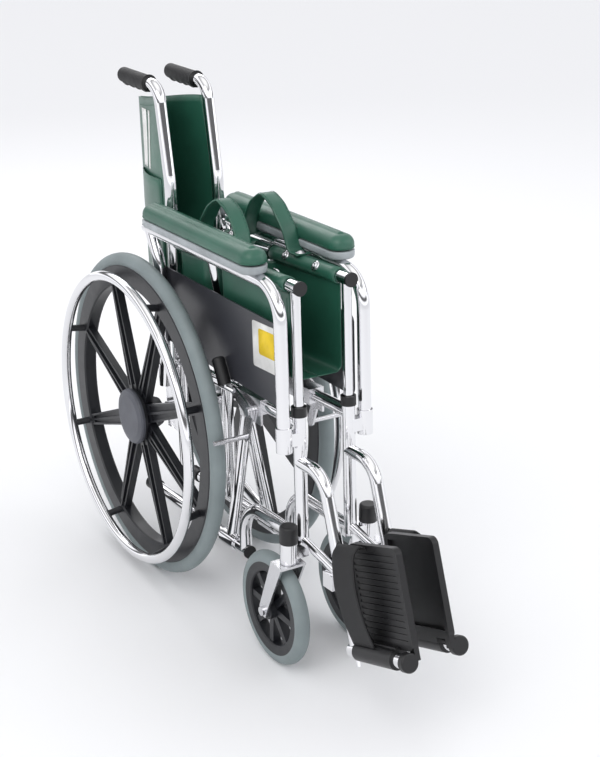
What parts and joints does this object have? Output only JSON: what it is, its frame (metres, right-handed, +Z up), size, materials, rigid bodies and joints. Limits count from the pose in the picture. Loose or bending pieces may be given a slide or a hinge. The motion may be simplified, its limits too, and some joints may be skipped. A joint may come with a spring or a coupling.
{
  "type": "folding manual wheelchair",
  "caption": "Folding manual wheelchair, shown folded: chrome tube frame, cross brace, spoked push wheels, casters, flip-up footplates and padded lift-off arms.",
  "frame": {"origin": "middle of the floor rectangle under the folded chair", "axes": "+Z up, -Y the chair's front, -X the chair's right-hand side"},
  "size_m": [0.3276, 1.0848, 0.9229],
  "materials": {
    "chrome_tube": "polished chrome plate",
    "bright_steel": "bright zinc",
    "black_grip": "matte",
    "black_plastic": "moulded",
    "heel_webbing": "ribbed webbing",
    "wheel_plastic": "glass-filled nylon",
    "hub_grey": "satin",
    "grey_rubber": "solid grey rubber",
    "pad_grey": "moulded grey",
    "green_vinyl": "grained vinyl",
    "guard_panel": "dark satin-gloss",
    "label_white": "plain",
    "label_yellow": "plain",
    "white_print": "printed"
  },
  "bodies": {
    "right_frame": {"right_side_frame": "chrome_tube", "right_cane": "chrome_tube", "right_push_grip": "black_grip", "right_end_caps": "black_plastic", "right_rear_axle": "bright_steel", "right_lock_clamp": "bright_steel"},
    "left_frame": {"left_side_frame": "chrome_tube", "left_cane": "chrome_tube", "left_push_grip": "black_grip", "left_end_caps": "black_plastic", "left_rear_axle": "bright_steel", "left_lock_clamp": "bright_steel"},
    "right_brace": {"brace_right_foot": "chrome_tube"},
    "left_brace": {"brace_left_foot": "chrome_tube"},
    "right_seat_rail": {"right_seat_rail": "chrome_tube", "right_rail_plugs": "black_plastic"},
    "right_seat": {"right_seat_half": "green_vinyl"},
    "right_seat_lip": {"right_seat_lip": "green_vinyl"},
    "right_back": {"right_back_half": "green_vinyl"},
    "right_wheel": {"right_tyre": "grey_rubber", "right_mag_wheel": "wheel_plastic", "right_handrim": "chrome_tube", "right_hub_cap": "hub_grey"},
    "right_caster": {"right_caster_fork": "bright_steel", "right_caster_axle": "bright_steel"},
    "right_caster_wheel": {"right_caster_wheel": "wheel_plastic", "right_caster_tyre": "grey_rubber"},
    "right_arm": {"right_arm_tube": "chrome_tube", "right_pad_base": "pad_grey", "right_arm_pad": "green_vinyl", "right_skirt_guard": "guard_panel"},
    "right_foot_slide": {"right_foot_extension": "chrome_tube"},
    "right_footplate": {"right_footplate": "black_plastic", "right_heel_loop": "heel_webbing"},
    "right_lock_lever": {"right_lock_lever": "bright_steel", "right_lock_grip": "black_grip"},
    "right_lock_shoe": {"right_lock_shoe": "bright_steel"},
    "left_seat_rail": {"left_seat_rail": "chrome_tube", "left_rail_plugs": "black_plastic"},
    "left_seat": {"left_seat_half": "green_vinyl"},
    "left_seat_lip": {"left_seat_lip": "green_vinyl"},
    "left_back": {"left_back_half": "green_vinyl"},
    "left_wheel": {"left_tyre": "grey_rubber", "left_mag_wheel": "wheel_plastic", "left_handrim": "chrome_tube", "left_hub_cap": "hub_grey"},
    "left_caster": {"left_caster_fork": "bright_steel", "left_caster_axle": "bright_steel"},
    "left_caster_wheel": {"left_caster_wheel": "wheel_plastic", "left_caster_tyre": "grey_rubber"},
    "left_arm": {"left_arm_tube": "chrome_tube", "left_pad_base": "pad_grey", "left_arm_pad": "green_vinyl", "left_skirt_guard": "guard_panel"},
    "left_foot_slide": {"left_foot_extension": "chrome_tube"},
    "left_footplate": {"left_footplate": "black_plastic", "left_heel_loop": "heel_webbing"},
    "left_lock_lever": {"left_lock_lever": "bright_steel", "left_lock_grip": "black_grip"},
    "left_lock_shoe": {"left_lock_shoe": "bright_steel"}
  },
  "joints": [
    {"name": "fold", "type": "hinge", "parent": "right_frame", "child": "right_brace", "pos_m": [-0.0475, 0.01446, 0.12493], "axis": [0, 0.9976, -0.0689], "range_deg": [0, 39.29]},
    {"name": "brace_cross", "type": "hinge", "parent": "right_brace", "child": "left_brace", "pos_m": [0, 0.04451, 0.38598], "axis": [0, 0.9976, -0.0689], "range_deg": [-79, 0]},
    {"name": "left_frame_foot", "type": "hinge", "parent": "left_brace", "child": "left_frame", "pos_m": [0.0475, 0.0381, 0.1233], "axis": [0, 0.9976, -0.0689], "range_deg": [0, 39.5]},
    {"name": "left_rail_pivot", "type": "hinge", "parent": "right_brace", "child": "left_seat_rail", "pos_m": [0.0475, 0.05062, 0.64868], "axis": [0, 0.9976, -0.0689], "range_deg": [-39.5, 0]},
    {"name": "right_rail_pivot", "type": "hinge", "parent": "left_brace", "child": "right_seat_rail", "pos_m": [-0.0475, 0.07427, 0.64705], "axis": [0, 0.9976, -0.0689], "range_deg": [0, 39.5]},
    {"name": "right_seat_hang", "type": "hinge", "parent": "right_seat_rail", "child": "right_seat", "pos_m": [-0.0475, 0.00573, 0.65178], "axis": [0, 0.9976, -0.0689], "range_deg": [-76.6, 0]},
    {"name": "right_seat_lip_turn", "type": "hinge", "parent": "right_seat", "child": "right_seat_lip", "pos_m": [-0.0475, -0.00529, 0.49216], "axis": [0, 0.9976, -0.0689], "range_deg": [0, 76.6]},
    {"name": "right_back_turn", "type": "hinge", "parent": "right_frame", "child": "right_back", "pos_m": [-0.0475, 0.22531, 0.68173], "axis": [0, 0.0689, 0.9976], "range_deg": [-77.4, 0]},
    {"name": "right_wheel_spin", "type": "hinge", "parent": "right_frame", "child": "right_wheel", "pos_m": [-0.1106, 0.23739, 0.305], "axis": [1, 0, 0], "continuous": true},
    {"name": "right_caster_swivel", "type": "hinge", "parent": "right_frame", "child": "right_caster", "pos_m": [-0.0785, -0.23461, 0.225], "axis": [0, 0, 1], "continuous": true},
    {"name": "right_caster_spin", "type": "hinge", "parent": "right_caster", "child": "right_caster_wheel", "pos_m": [-0.0785, -0.19361, 0.1], "axis": [1, 0, 0], "continuous": true},
    {"name": "right_arm_lift", "type": "slide", "parent": "right_frame", "child": "right_arm", "axis": [0, 0.0689, 0.9976], "range_m": [0, 0.25]},
    {"name": "right_foot_length", "type": "slide", "parent": "right_frame", "child": "right_foot_slide", "axis": [0, -0.3641, -0.9314], "range_m": [0, 0.06]},
    {"name": "right_footplate_flip", "type": "hinge", "parent": "right_foot_slide", "child": "right_footplate", "pos_m": [-0.0475, -0.39227, 0.11392], "axis": [0, 0.9314, -0.3641], "range_deg": [0, 84.3]},
    {"name": "right_wheel_lock", "type": "hinge", "parent": "right_frame", "child": "right_lock_lever", "pos_m": [-0.07, -0.09041, 0.42086], "axis": [1, 0, 0], "range_deg": [0, 60]},
    {"name": "right_lock_shoe_swing", "type": "hinge", "parent": "right_frame", "child": "right_lock_shoe", "pos_m": [-0.065, -0.09041, 0.42086], "axis": [1, 0, 0], "range_deg": [0, 5.2]},
    {"name": "left_seat_hang", "type": "hinge", "parent": "left_seat_rail", "child": "left_seat", "pos_m": [0.0475, 0.00573, 0.65178], "axis": [0, 0.9976, -0.0689], "range_deg": [0, 76.6]},
    {"name": "left_seat_lip_turn", "type": "hinge", "parent": "left_seat", "child": "left_seat_lip", "pos_m": [0.0475, -0.00529, 0.49216], "axis": [0, 0.9976, -0.0689], "range_deg": [-76.6, 0]},
    {"name": "left_back_turn", "type": "hinge", "parent": "left_frame", "child": "left_back", "pos_m": [0.0475, 0.22531, 0.68173], "axis": [0, 0.0689, 0.9976], "range_deg": [0, 77.4]},
    {"name": "left_wheel_spin", "type": "hinge", "parent": "left_frame", "child": "left_wheel", "pos_m": [0.1106, 0.23739, 0.305], "axis": [1, 0, 0], "continuous": true},
    {"name": "left_caster_swivel", "type": "hinge", "parent": "left_frame", "child": "left_caster", "pos_m": [0.0785, -0.23461, 0.225], "axis": [0, 0, -1], "continuous": true},
    {"name": "left_caster_spin", "type": "hinge", "parent": "left_caster", "child": "left_caster_wheel", "pos_m": [0.0785, -0.19361, 0.1], "axis": [1, 0, 0], "continuous": true},
    {"name": "left_arm_lift", "type": "slide", "parent": "left_frame", "child": "left_arm", "axis": [0, 0.0689, 0.9976], "range_m": [0, 0.25]},
    {"name": "left_foot_length", "type": "slide", "parent": "left_frame", "child": "left_foot_slide", "axis": [0, -0.3641, -0.9314], "range_m": [0, 0.06]},
    {"name": "left_footplate_flip", "type": "hinge", "parent": "left_foot_slide", "child": "left_footplate", "pos_m": [0.0475, -0.39227, 0.11392], "axis": [0, 0.9314, -0.3641], "range_deg": [-84.3, 0]},
    {"name": "left_wheel_lock", "type": "hinge", "parent": "left_frame", "child": "left_lock_lever", "pos_m": [0.07, -0.09041, 0.42086], "axis": [1, 0, 0], "range_deg": [0, 60]},
    {"name": "left_lock_shoe_swing", "type": "hinge", "parent": "left_frame", "child": "left_lock_shoe", "pos_m": [0.065, -0.09041, 0.42086], "axis": [1, 0, 0], "range_deg": [0, 5.2]}
  ],
  "couplings": [
    {"joint": "brace_cross", "follows": "fold", "ratio": -2},
    {"joint": "left_frame_foot", "follows": "fold", "ratio": 1},
    {"joint": "left_rail_pivot", "follows": "fold", "ratio": -1},
    {"joint": "right_rail_pivot", "follows": "fold", "ratio": 1},
    {"joint": "right_seat_hang", "follows": "fold", "ratio": -1.944},
    {"joint": "right_seat_lip_turn", "follows": "fold", "ratio": 1.944},
    {"joint": "right_back_turn", "follows": "fold", "ratio": -1.964},
    {"joint": "right_footplate_flip", "follows": "fold", "ratio": 2.1378},
    {"joint": "right_lock_shoe_swing", "follows": "right_wheel_lock", "ratio": 0.085},
    {"joint": "left_seat_hang", "follows": "fold", "ratio": 1.944},
    {"joint": "left_seat_lip_turn", "follows": "fold", "ratio": -1.944},
    {"joint": "left_back_turn", "follows": "fold", "ratio": 1.964},
    {"joint": "left_footplate_flip", "follows": "fold", "ratio": -2.1378},
    {"joint": "left_lock_shoe_swing", "follows": "left_wheel_lock", "ratio": 0.085}
  ]
}
